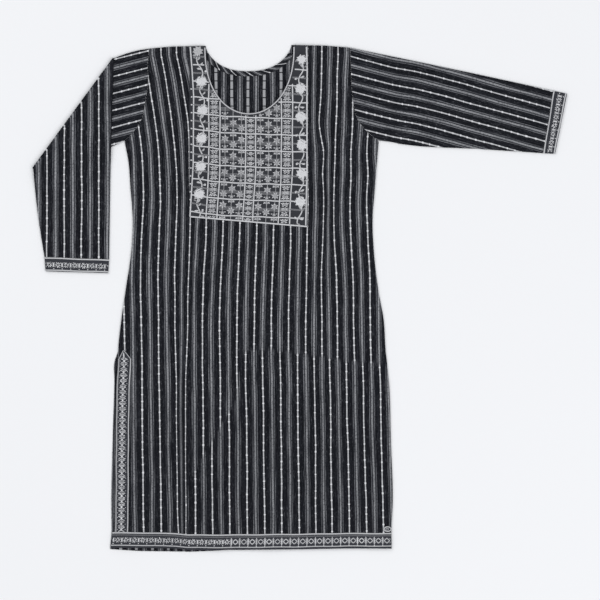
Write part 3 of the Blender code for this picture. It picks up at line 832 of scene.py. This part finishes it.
# ---- embroidery, drawn stitch by stitch
class Embroidery:
    """Raised threads and satin-stitched shapes on a surface height(across, below)."""

    def __init__(self, surface):
        self.surface, self.verts, self.faces, self.stitch = surface, [], [], []
        self.count = 0

    def add(self, across, below, lift, faces, u, v, tone):
        z = self.surface(across, below) + lift
        self.verts.append(world(across, below, z))
        self.stitch.append(np.stack(np.broadcast_arrays(u, v, (0.205 + 0.795 * tone) * np.ones_like(z)), -1))
        self.faces += [tuple(k + self.count for k in face) for face in faces]
        self.count += len(z)

    def line(self, points, width, height=0.0006, tone=0.9, taper=0.0, step=0.004):
        """A stitched line: an arched ribbon along the points."""
        points = np.array(points, float)
        run = np.concatenate([[0], np.cumsum(np.hypot(*np.diff(points, axis=0).T))])
        count = max(2, int(run[-1] / step) + 1)
        s = np.linspace(0, run[-1], count)[:, None]
        a, b = (np.interp(s, run, points[:, k]) for k in (0, 1))
        da, db = np.gradient(a, axis=0), np.gradient(b, axis=0)
        size = np.hypot(da, db) + 1e-12
        wide = width * 0.5 * (1 - taper * np.abs(2 * s / run[-1] - 1) ** 3)
        v = wide * np.array((-1.0, -0.5, 0.5, 1.0))
        lift = np.tile((SUNK, 0.8 * height, 0.8 * height, SUNK), count)
        faces = [(p, p + 1, p + 5, p + 4) for i in range(count - 1) for p in range(4 * i, 4 * i + 3)]
        self.add((a - db / size * v).ravel(), (b + da / size * v).ravel(), lift, faces,
                 (s + 0 * v).ravel(), v.ravel(), tone)

    def shape(self, centre, radii, height, tone, turn=0.0, rings=3):
        """A filled, domed shape; radii is a list of radii round the centre."""
        radii = np.array(radii)
        count = len(radii)
        angle = np.linspace(0, 2 * np.pi, count, endpoint=False) + turn
        a, b, lift, u, v = [centre[0]], [centre[1]], [height], [0.0], [0.0]
        for r in range(1, rings + 1):
            s = r / rings
            a += list(centre[0] + radii * s * np.cos(angle))
            b += list(centre[1] + radii * s * np.sin(angle))
            lift += [height * (1 - s * s) ** 0.6 if r < rings else SUNK] * count
            u += list(angle * 0.006)
            v += list(radii * s)
        self.add(*map(np.array, (a, b, lift)), self.fan(count, rings), np.array(u), np.array(v), tone)

    @staticmethod
    def fan(count, rings):
        faces = [(0, 1 + (k + 1) % count, 1 + k) for k in range(count)]
        for r in range(rings - 1):
            for k in range(count):
                p, q = 1 + r * count + k, 1 + r * count + (k + 1) % count
                faces.append((p, q, q + count, p + count))
        return faces

    def leaf(self, start, direction, length, width, tone=0.9, height=0.0008):
        """A satin-stitched leaf from its stalk."""
        angle = np.linspace(0, 2 * np.pi, 12, endpoint=False)
        ca, cb = np.cos(direction), np.sin(direction)
        along = length * 0.5 * (1 + np.cos(angle))
        side = width * 0.5 * np.sin(angle) * (0.55 + 0.45 * np.cos(angle - 0.6))
        mid = length * 0.45
        along = np.concatenate([[mid], lerp(mid, along, 0.6), along])
        side = np.concatenate([[0], 0.6 * side, side])
        lift = np.array([height] + [height * 0.8] * 12 + [SUNK] * 12)
        self.add(start[0] + ca * along - cb * side, start[1] + cb * along + ca * side, lift, self.fan(12, 2),
                 along, 0 * along, tone)

    def dot(self, centre, radius, tone=1.0):
        self.shape(centre, [radius] * 8, radius * 0.5, tone, rings=2)

    def build(self, name):
        verts = np.concatenate(self.verts)
        faces = []
        for face in self.faces:
            p, q, r = verts[face[0]], verts[face[1]], verts[face[2]]
            up = (q[0] - p[0]) * (r[1] - p[1]) - (q[1] - p[1]) * (r[0] - p[0])
            faces.append(face if up > 0 else face[::-1])
        return make_object(name, verts, faces, THREAD_MATERIAL, {"stitch": np.concatenate(self.stitch)}, 75)


def arc(centre, radius, start, end, count, squash=1.0):
    angles = [lerp(start, end, k / (count - 1)) for k in range(count)]
    return [(centre[0] + radius * math.cos(t), centre[1] + squash * radius * math.sin(t)) for t in angles]


# The yoke's grid. Its lines run down the panel and lean to the left towards its lower edge.
COLUMN_LINES = (
    # across at mid height, width of the line, tone
    (-0.0834, 0.0030, 0.70), (-0.0600, 0.0029, 0.70), (-0.0494, 0.0013, 0.24), (-0.0321, 0.0015, 0.28),
    (-0.0149, 0.0013, 0.24), (-0.0058, 0.0029, 0.70), (0.0151, 0.0029, 0.70), (0.0250, 0.0013, 0.24),
    (0.0422, 0.0015, 0.28), (0.0594, 0.0013, 0.24), (0.0691, 0.0029, 0.70), (0.0924, 0.0030, 0.70),
)
ROW_PITCH = 0.0347
FIRST_ROW = 0.1155                  # the first whole row, below the shoulder at the centre line
ROW_SHAPE = ((-0.125, -0.085, -0.060, -0.006, 0.015, 0.126),
             (-0.0118, -0.0067, -0.0032, -0.0006, 0.0004, 0.0036))
LEFT_RIM = ((0.0, 0.05, 0.105, 0.25, 0.365), (-0.1225, -0.1185, -0.1152, -0.1162, -0.1232))
RIGHT_RIM = ((0.0, 0.05, 0.105, 0.26, 0.385), (0.1215, 0.1232, 0.1225, 0.1226, 0.1200))
ROWS = range(-3, 8)
FAINT = -0.19                       # tone of the soft grey stitches


def lean(below):
    return -0.0068 * float(smooth((below - 0.235) / 0.16))


def row_below(row, across):
    """A row's line falls to the right, most over the left band and more evenly near the neck."""
    high = float(np.clip((1.5 - row) / 2.5, 0, 1))
    return FIRST_ROW + row * ROW_PITCH + lerp(np.interp(across, *ROW_SHAPE), 0.042 * across, high * 0.6)


def on_yoke(across, below, margin=0.001):
    return (below > front_neck(across) + margin) & (below < yoke_low(across) - margin)


work = Embroidery(over_front)


def clipped(points, width, **more):
    """Stitches only the runs of a line that lie on the yoke."""
    run = []
    for point in list(points) + [(0.0, -1.0)]:
        if on_yoke(*point):
            run.append(point)
            continue
        if len(run) > 1:
            work.line(run, width, **more)
        run = []


def row_line(row, lo, hi, count, width, drop=0.0, wobble=(0.0005, 130), **more):
    """A line of stitches along a row, from lo to hi across."""
    line = []
    for x in np.linspace(lo, hi, count):
        below = row_below(row, x)
        line.append((x + lean(below), below + drop + wobble[0] * math.sin(x * wobble[1] + math.floor(row))))
    clipped(line, width, **more)


levels = np.arange(-0.001, 0.385, 0.003)
for rim in (LEFT_RIM, RIGHT_RIM):
    clipped(zip(np.interp(levels, *rim), levels), 0.0030, tone=0.70)
for across, width, tone in COLUMN_LINES:
    levels = np.arange(0.08, 0.385, 0.003)
    wobble = 0.0004 * np.sin(levels / 0.021 + across * 90)
    clipped([(across + lean(v) + w, v) for v, w in zip(levels, wobble)], width, tone=tone)

for row in ROWS:
    for lo, hi in ((-0.1165, -0.0834), (-0.0834, 0.0922), (0.0922, 0.1225)):
        if row > -3:
            row_line(row, lo, hi, max(4, int((hi - lo) / 0.004)), 0.0030, tone=0.72)
    for lo, hi in ((-0.1165, -0.0834), (0.0922, 0.1225)):
        row_line(row + 0.5, lo, hi, max(4, int((hi - lo) / 0.004)), 0.0042, tone=FAINT)
    if row >= -1:                   # the soft band of grey stitches through the middle of the row
        for drop in (-0.0026, 0.0, 0.0026):
            row_line(row + 0.55, -0.0834, 0.0922, 60, 0.0026, drop, (0.0006, 210), tone=FAINT, height=0.0002)
xs = np.linspace(YOKE_LEFT + 0.001, YOKE_RIGHT - 0.001, 70)
work.line([(x, float(yoke_low(x)) - 0.0016) for x in xs], 0.0030, tone=0.75)
for k in range(16):                 # knots that hold the yoke's left edge
    level = 0.0905 + k * 0.0166
    foot = float(np.interp(level, *LEFT_RIM))
    knot = (max(foot - 0.0043, YOKE_LEFT + 0.0018), level)
    work.line([(foot, level + 0.0004), knot], 0.0020, 0.0005, 0.35, step=0.002)
    work.dot(knot, 0.0017, 0.9)


def polar(centre, radius, turn):
    return (centre[0] + radius * math.cos(turn), centre[1] + radius * math.sin(turn))


def flower(centre, radius, petals, tone):
    """A ragged round flower: a dimmer ground with satin petals over it and loose tips round the rim."""
    waves = [0.93 + 0.10 * math.cos(petals * 2 * math.pi * t / 40) for t in range(40)]
    radii = [radius * (wave + rng.uniform(-0.07, 0.07)) for wave in waves]
    work.shape(centre, radii, 0.0010, tone - 0.10, rng.uniform(0, 1), rings=4)
    for p in range(petals):
        turn = 2 * math.pi * p / petals + rng.uniform(-0.15, 0.15)
        for reach, size, glow in ((0.50, 0.0062, -0.05), (0.16, 0.0055, 0.10)):
            start = polar(centre, radius * reach, turn + reach)
            if on_yoke(*start, 0.004):
                shade = tone + glow + rng.uniform(-0.12, 0.12)
                work.leaf(start, turn + reach, size, 0.0036, shade, 0.0013)
    for p in range(12):
        tip = polar(centre, radius * 1.02, rng.uniform(0, 2 * math.pi))
        if on_yoke(*tip, 0.003):
            work.dot(tip, 0.0010, tone - 0.3)


SPROUTS = (
    # share of the stem, side, length, width, tone, rise
    (0.30, -1, 0.0116, 0.0068, 0.60, 0.95),
    (0.24, 1, 0.0086, 0.0052, 0.25, 0.50),
    (0.66, 1, 0.0120, 0.0070, 0.78, 0.35),
    (0.74, -1, 0.0084, 0.0050, 0.62, 0.45),
    (0.90, 1, 0.0080, 0.0058, 0.35, -0.60),
)
MORE_SPROUTS = (
    (0.08, 1, 0.0098, 0.0058, 0.55, 0.10),
    (0.48, -1, 0.0104, 0.0058, 0.62, 0.70),
    (0.92, -1, 0.0092, 0.0056, 0.45, -0.30),
)


def sprout(stem, s, out, length, width, tone, rise):
    """A leaf with its vein, from a point of the stem."""
    foot = stem[min(int(s * len(stem)), len(stem) - 1)]
    heading = (0.0 if out > 0 else math.pi) - out * rise
    tip = polar(foot, length, heading)
    if on_yoke(*tip, 0.002) and on_yoke(*foot, 0.002) and abs(tip[0]) > 0.0862:
        work.leaf(foot, heading, length, width, tone)
        work.line([foot, tip], 0.0012, 0.0016, tone - 0.35, step=0.003)


def vine(side, flowers, sway=0.0045):
    """A wavy stem through the flowers of a side band, with leaves and buds."""
    for k, (across, below) in enumerate(flowers):
        dim = k == 0 and side < 0
        flower((across + lean(below), below), 0.0104 if k == 0 else 0.0118, 8 + k % 2, 0.50 if dim else 0.92)
    last = (flowers[-1][0], flowers[-1][1] + 0.060)
    for k, ((a0, b0), (a1, b1)) in enumerate(zip(flowers, flowers[1:] + [last])):
        stem = []
        for s in np.linspace(0, 1, 16):
            bend = side * sway * math.sin(2 * math.pi * s)
            stem.append((lerp(a0, a1, s) + bend + lean(lerp(b0, b1, s)), lerp(b0 + 0.007, b1 - 0.006, s)))
        stem = [p for p in stem if on_yoke(*p, 0.003)]
        if len(stem) < 3:
            continue
        work.line(stem, 0.0028, tone=0.72, step=0.003)
        for n, (s, out, length, width, tone, rise) in enumerate(SPROUTS + (MORE_SPROUTS if side < 0 else ())):
            turned = 0.5 * (k % 2) if n == 2 else 0.0
            sprout(stem, s, side * out, length, width, tone, rise - turned)
        a, b = stem[len(stem) * 7 // 10]
        bud = (a - side * 0.0062, b - 0.0012)
        if on_yoke(*bud, 0.004):
            work.dot(bud, 0.0025, 0.90)


vine(-1, [(-0.1063, 0.0110), (-0.0988, 0.0740), (-0.0962, 0.1340), (-0.0985, 0.1935), (-0.1000, 0.2530),
          (-0.1000, 0.3110)])
vine(1, [(0.1115, 0.0285), (0.1092, 0.0892), (0.1100, 0.1490), (0.1118, 0.2075), (0.1125, 0.2680),
         (0.1130, 0.3270)])


def rosette(centre, radius, petals, tone, turn=0.0):
    """Small petals round a knot, each ending in a bright stitch."""
    for p in range(petals):
        angle = turn + 2 * math.pi * p / petals
        if on_yoke(*polar(centre, radius, angle), 0.002):
            shade = tone + rng.uniform(-0.22, 0.30)
            work.leaf(polar(centre, 0.26 * radius, angle), angle, radius * 0.76, radius * 0.50, shade, 0.0006)
            work.dot(polar(centre, 1.04 * radius, angle), 0.0010, shade + 0.30)
    if on_yoke(*centre, 0.003):
        work.dot(centre, 0.0012, tone + 0.4)


def strokes(centre, tone, *pairs, width=0.0020):
    """Straight stitches near a point; a pair is two ends, in metres from it."""
    for (x0, y0), (x1, y1) in pairs:
        first, second = (centre[0] + x0, centre[1] + y0), (centre[0] + x1, centre[1] + y1)
        if on_yoke(*first, 0.002) and on_yoke(*second, 0.002):
            work.line([first, second], width, 0.0005, tone, 0.5, 0.0022)


def pad(centre, across, down, tone):
    """A flat patch of grey stitches under a motif."""
    turns = np.linspace(0, 2 * math.pi, 16, endpoint=False)
    radii = [math.hypot(across * math.cos(t), down * math.sin(t)) * (1 + rng.uniform(-0.08, 0.08)) for t in turns]
    if on_yoke(centre[0], centre[1] - down, 0.001) and on_yoke(centre[0], centre[1] + down, 0.001):
        work.shape(centre, radii, 0.00025, tone, rings=2)


def on_row(row, across, shift=0.0):
    """A point of a row's line, with the panel's lean."""
    below = row_below(row, across) + shift
    return (across + lean(below), below)


def sprig(row, across, low):
    """A rosette in a cell of the grid, with a fan over it or a small fork under it."""
    spot = on_row(row + (0.70 if low else 0.37), across)
    pad(spot, 0.0082, 0.0074, 0.03 + 0.10 * rng.random())
    if on_yoke(*spot, 0.003):
        rosette(spot, 0.0070, 7 if low else 6, 0.54 + 0.24 * rng.random(), 0.52 + rng.uniform(-0.2, 0.2))
    if low:
        a, b = top = on_row(row, across, 0.0022)
        pad((a, b + 0.0024), 0.0058, 0.0036, -0.02)
        strokes(top, 0.62, ((-0.0062, 0.0), (-0.0018, 0.0040)), ((0.0062, 0.0), (0.0018, 0.0040)),
                ((0.0, 0.0), (0.0, 0.0052)))
    else:
        a, b = foot = on_row(row + 1, across, -0.0028)
        pad((a, b - 0.0030), 0.0046, 0.0042, -0.02)
        strokes(foot, 0.62, ((-0.0026, 0.0), (0.0, -0.0040)), ((0.0026, 0.0), (0.0, -0.0040)))
    for side in (-1, 1):
        below = row_below(row + (0.16 if low else 0.80), across)
        bud = (across + side * 0.0054 + lean(below), below)
        if on_yoke(*bud, 0.003):
            work.dot(bud, 0.0015, 0.6 + 0.3 * rng.random())


def star(spot, wide, tone, turn):
    pad(spot, wide * 1.05, 0.0040, 0.12)
    strokes(spot, tone * 0.5, ((-wide, -0.0030), (wide, 0.0030)), ((wide, -0.0030), (-wide, 0.0030)),
            ((-wide, 0.0), (wide, 0.0)), width=0.0019)
    rosette(spot, 0.0042, 5, 0.50, turn)


def eyelet(spot, wide, tone):
    pad(spot, wide * 0.85, 0.0040, -0.02)
    if on_yoke(*spot, 0.005):
        work.line(arc(spot, 0.0036, 0, 6.28, 14, 0.85), 0.0017, 0.0006, tone + 0.1, step=0.002)
        work.dot(spot, 0.0013, 0.9)
    strokes(spot, tone, ((-wide, -0.0026), (-0.0050, 0.0014)), ((wide, -0.0026), (0.0050, 0.0014)),
            ((-wide, 0.0030), (-0.0055, 0.0044)), ((wide, 0.0030), (0.0055, 0.0044)), width=0.0019)


def wings(spot, wide, tone, flip):
    pad(spot, wide * 0.85, 0.0040, -0.02)
    for side in (-1, 1):
        ends = (((wide, -0.0028), (0.0030, 0.0010)), ((0.0066, 0.0030), (0.0016, 0.0042)),
                ((0.0044, -0.0036), (0.0006, -0.0010)))
        strokes(spot, tone, *(((side * x0, flip * y0), (side * x1, flip * y1)) for (x0, y0), (x1, y1) in ends),
                width=0.0021)
        if on_yoke(spot[0] + side * 0.0032, spot[1] - 0.0002, 0.004):
            work.dot((spot[0] + side * 0.0036, spot[1] - 0.0026 * flip), 0.0013, 0.85)
    if on_yoke(*spot, 0.004):
        work.dot((spot[0], spot[1] + 0.0016 * flip), 0.0014, 0.95)


for row in ROWS:
    for k, across in enumerate((-0.0494, -0.0321, -0.0149, 0.0250, 0.0422, 0.0594)):
        sprig(row, across, (k % 3 == 1) != (row % 2 == 1))
    for k, across in enumerate((-0.0717, 0.0046, 0.0808)):
        wide = 0.0084 if k != 1 else 0.0074
        for part, flip in ((0.20, 1), (0.50, 0), (0.80, -1)):
            spot = on_row(row + part, across)
            tone = 0.58 + 0.37 * rng.random()
            if flip == 0:
                star(spot, wide, tone, (row + k) % 2 * 0.6)
            elif k == 1:
                eyelet(spot, wide, tone)
            else:
                wings(spot, wide, tone, flip)
place(work.build("neck_yoke_embroidery"), "embroidered_yoke")


# ---- the border's figure
def edge_lines(work, point, length, *lines):
    """The light lines woven along a tape; a line is (metres from the outer edge, width, tone)."""
    xs = np.linspace(0.0, length, max(3, int(length / 0.004)))
    for level, width, tone in lines:
        work.line([point(x, level + 0.0003 * math.sin(x / 0.013)) for x in xs], width, 0.0006, tone)


def border_figure(work, point, length, middle, start, glow, round_until, repeat=0.0177):
    """A chain of uprights with a knot at each foot, and diamonds between them. point(x, y) gives the
    place x metres along the tape and y metres across it from its outer edge. Up to round_until the
    diamonds are petalled rounds and the uprights are short."""
    def stroke(points, width, tone, taper=0.4):
        kept = [point(x, middle + y) for x, y in points if 0.0008 < x < length - 0.0008]
        if len(kept) > 1:
            work.line(kept, width, 0.0006, tone, taper, 0.002)

    for k in range(-1, int((length - start) / repeat) + 2):
        x = start + k * repeat
        xm = x + repeat / 2
        tone = 0.30 + 0.34 * rng.random() + glow
        petalled = x < round_until
        tall = 0.0046 if petalled else 0.0080
        stroke([(x, tall), (x + 0.0002, 0.0), (x, -tall)], 0.0030, tone + 0.20, 0.5)
        if 0.002 < x < length - 0.002:
            work.dot(point(x, middle - (0.0078 if petalled else 0.0098)), 0.0014, 0.75)
            work.dot(point(x, middle), 0.0021, tone + 0.25)
        for side in (-1, 1):
            near, far = x + side * 0.0012, x + side * 0.0032
            stroke([(near, 0.0022), (far, 0.0052)], 0.0018, tone - 0.05)
            stroke([(near, -0.0022), (far, -0.0050)], 0.0018, tone - 0.15)
            for petal in range(4 if petalled else 0):
                turn = 0.28 + 0.80 * petal + rng.uniform(-0.12, 0.12)
                reach = 0.0060 + rng.uniform(-0.0007, 0.0007)
                ca, cb = side * math.sin(turn), -side * math.cos(turn)
                ends = [(xm + ca * r, cb * r) for r in (0.0018, reach)]
                stroke(ends, 0.0022, tone + rng.uniform(0.0, 0.35), 0.3)
            for way in (() if petalled else (-1, 1)):
                leg = [(xm, side * 0.0052), (xm + way * 0.0030, side * 0.0027), (xm + way * 0.0058, 0.0)]
                stroke(leg, 0.0023, tone + 0.05, 0)


def leaf_chain(work, point, length, middle, start, repeat=0.0118):
    """The slit's chain: knots on a stem with uneven pairs of bent leaves and small buds between them."""
    stem = np.linspace(start, length - 0.002, 2 * int(length / repeat))
    work.line([point(x, middle + 0.0005 * math.sin(x / 0.0041)) for x in stem], 0.0016, 0.0005, 0.40)
    for k in range(int((length - start) / repeat) + 1):
        x = start + k * repeat
        tone = 0.60 + 0.25 * rng.random()
        knot = [point(x - 0.0026, middle), point(x + 0.0026, middle)]
        work.line(knot, 0.0040, 0.0008, tone + 0.2, 0.9, 0.0015)
        for side in (-1, 1):
            for foot, reach, out in ((-0.0014, -0.0030, 0.0074), (0.0012, 0.0034, 0.0078), (0.0044, 0.0014, 0.0056)):
                reach, out = reach + rng.uniform(-0.0008, 0.0008), out + rng.uniform(-0.0010, 0.0006)
                leaf = [(foot, 0.0008), (foot + 0.7 * reach, 0.55 * out), (foot + reach, out)]
                glow = tone + rng.uniform(-0.25, 0.15)
                work.line([point(x + p, middle + side * q) for p, q in leaf], 0.0018, 0.0006, glow, 0.4, 0.002)
            work.dot(point(x + rng.uniform(-0.0012, 0.0022), middle + side * 0.0084), 0.0010, tone)
            work.dot(point(x + repeat / 2, middle + side * 0.0026), 0.0011, tone - 0.1)


def hem_place(x, y):
    p = hem_point(0.001 + 0.998 * x / HEM_LENGTH, y / HEM_BORDER)
    return (float(p[0]), float(p[1]))


def slit_place(x, y):
    p = slit_point(np.array(x / SLIT_LENGTH), y / BORDER)
    return (float(p[0]), float(p[1]))


work = Embroidery(over_front)
HEM_LENGTH = float(edge(1.05, FRONT_LEFT) + edge(1.05, RIGHT)) - 0.0015
HEM_LINES = ((0.0046, 0.0024, 0.46), (0.0262, 0.0026, -0.25), (0.0306, 0.0028, 0.55))
edge_lines(work, hem_place, HEM_LENGTH, *HEM_LINES)
border_figure(work, hem_place, HEM_LENGTH, 0.0160, 0.004, 0.0, 0.24)
place(work.build("hem_border_figure"), "woven_border")

work = Embroidery(over_front)
SLIT_LENGTH = SLIT_LOW - SLIT_TOP - SLIT_TIP
edge_lines(work, slit_place, SLIT_LENGTH, (0.0013, 0.0030, 0.20), (BORDER - 0.0014, 0.0024, 0.50))
leaf_chain(work, slit_place, SLIT_LENGTH, 0.0130, 0.005)
tip_x = float(tip_a[4])
for side, y in ((-1, 0.0022), (1, BORDER - 0.0016)):
    roof = [slit_place(SLIT_LENGTH, y), (tip_x + 0.0006 * side, SLIT_TOP - 0.0052)]
    work.line(roof, 0.0016, 0.0006, 0.45)
work.line([(tip_x + 0.0005, SLIT_TOP + SLIT_TIP), (tip_x, SLIT_TOP - 0.001)], 0.0034, 0.0007, 0.75, 0.7)
place(work.build("slit_border_left_figure"), "woven_border")

work = Embroidery(lambda p, q: over_front(p, q) + 0.0006)
outer = arc((0.2920, 1.0148), 0.0072, 0.2, 2 * math.pi + 0.1, 28, 0.66)
inner = arc((0.2912, 1.0150), 0.0032, 0.4, 2 * math.pi, 16, 0.6)
work.line(outer, 0.0020, 0.0006, 0.62, step=0.0015)
work.line(inner, 0.0014, 0.0005, 0.5, step=0.001)
place(work.build("slit_border_right_figure"), "woven_border")

for name, seam_line, end_line in (("cuff_border_right_figure", RIGHT_SEAM, RIGHT_CUFF_END),
                                  ("cuff_border_left_figure", LEFT_SEAM_END, LEFT_CUFF_END)):
    work = Embroidery(lambda p, q: 2 * MIDDLE + 0.0 * p)
    length = math.dist(*end_line)

    def cuff_place(x, y, ends=(straight(end_line), straight(seam_line)), length=length):
        p = between(*ends, 0.97 * y / BORDER)(x / length)
        return (float(p[0]), float(p[1]))

    edge_lines(work, cuff_place, length, (0.0024, 0.0028, 0.62), (BORDER - 0.0014, 0.0030, 0.62))
    border_figure(work, cuff_place, length, 0.0135, 0.008, 0.14, length)
    place(work.build(name), "woven_border")

# ---- the piping round the front neck
PIPING_RADIUS, PIPING_SIDES = 0.00135, 10
pa = NECK_CENTRE - (NECK_HALF - 0.0008) * np.cos(np.pi * np.linspace(0.004, 0.996, 150))
pb = front_neck(pa, 0.0008 - 1e-6)
centre = world(pa, pb, over_front(pa, pb + 0.004) - 0.0004)
tangent = np.gradient(centre, axis=0)
tangent /= np.linalg.norm(tangent, axis=1)[:, None]
side = np.cross(tangent, (0, 0, 1.0))
side /= np.linalg.norm(side, axis=1)[:, None]
up = np.cross(side, tangent)
run = np.concatenate([[0], np.cumsum(np.linalg.norm(np.diff(centre, axis=0), axis=1))])
verts, stitch, faces = [], [], []
for i in range(len(centre)):
    for k in range(PIPING_SIDES):
        turn = 2 * math.pi * k / PIPING_SIDES
        verts.append(centre[i] + PIPING_RADIUS * (math.cos(turn) * side[i] + math.sin(turn) * up[i]))
        stitch.append((run[i] + 0.0008 * turn, run[i], 0.8))
for i in range(len(centre) - 1):
    for k in range(PIPING_SIDES):
        a, b = i * PIPING_SIDES + k, i * PIPING_SIDES + (k + 1) % PIPING_SIDES
        faces.append((a, b, b + PIPING_SIDES, a + PIPING_SIDES))
faces.append(tuple(range(PIPING_SIDES))[::-1])
faces.append(tuple((len(centre) - 1) * PIPING_SIDES + k for k in range(PIPING_SIDES)))
piping = make_object("neck_piping_cord", verts, faces, CORD_MATERIAL, {"stitch": np.array(stitch)})
place(piping, "piping", "neck_piping")

# ---- floor, light and camera
floor_material = Nodes("floor").finish((0.945, 0.95, 0.96, 1.0), 0.9, 0.0)
corners = [(-6, -6, -0.0006), (6, -6, -0.0006), (6, 6, -0.0006), (-6, 6, -0.0006)]
floor = make_object("floor", corners, [(0, 1, 2, 3)], floor_material, {})

scene = bpy.context.scene
scene.view_settings.view_transform = "Standard"
scene.world = bpy.data.worlds.new("studio")
scene.world.use_nodes = True
background = scene.world.node_tree.nodes["Background"]
background.inputs[0].default_value = (0.965, 0.975, 1.0, 1.0)
background.inputs[1].default_value = 0.755


def softbox(name, location, size, power):
    """A square light turned to the origin."""
    data = bpy.data.lights.new(name, "AREA")
    data.shape, data.size, data.energy = "SQUARE", size, power
    light = bpy.data.objects.new(name, data)
    scene.collection.objects.link(light)
    light.location = location
    x, y, z = location
    light.rotation_euler = (math.atan2(math.hypot(x, y), z), 0, math.atan2(-y, -x) - math.pi / 2)


softbox("key light", (-3.6, 2.8, 3.2), 2.0, 46)
softbox("fill light", (3.4, -2.6, 4.0), 3.0, 72)

camera_data = bpy.data.cameras.new("camera")
camera_data.type = "ORTHO"
camera_data.ortho_scale = 1.26
camera = bpy.data.objects.new("camera", camera_data)
scene.collection.objects.link(camera)
camera.location = (CENTRE_X + 0.10815, SHOULDER_Y - 0.53369, 3.0)
scene.camera = camera
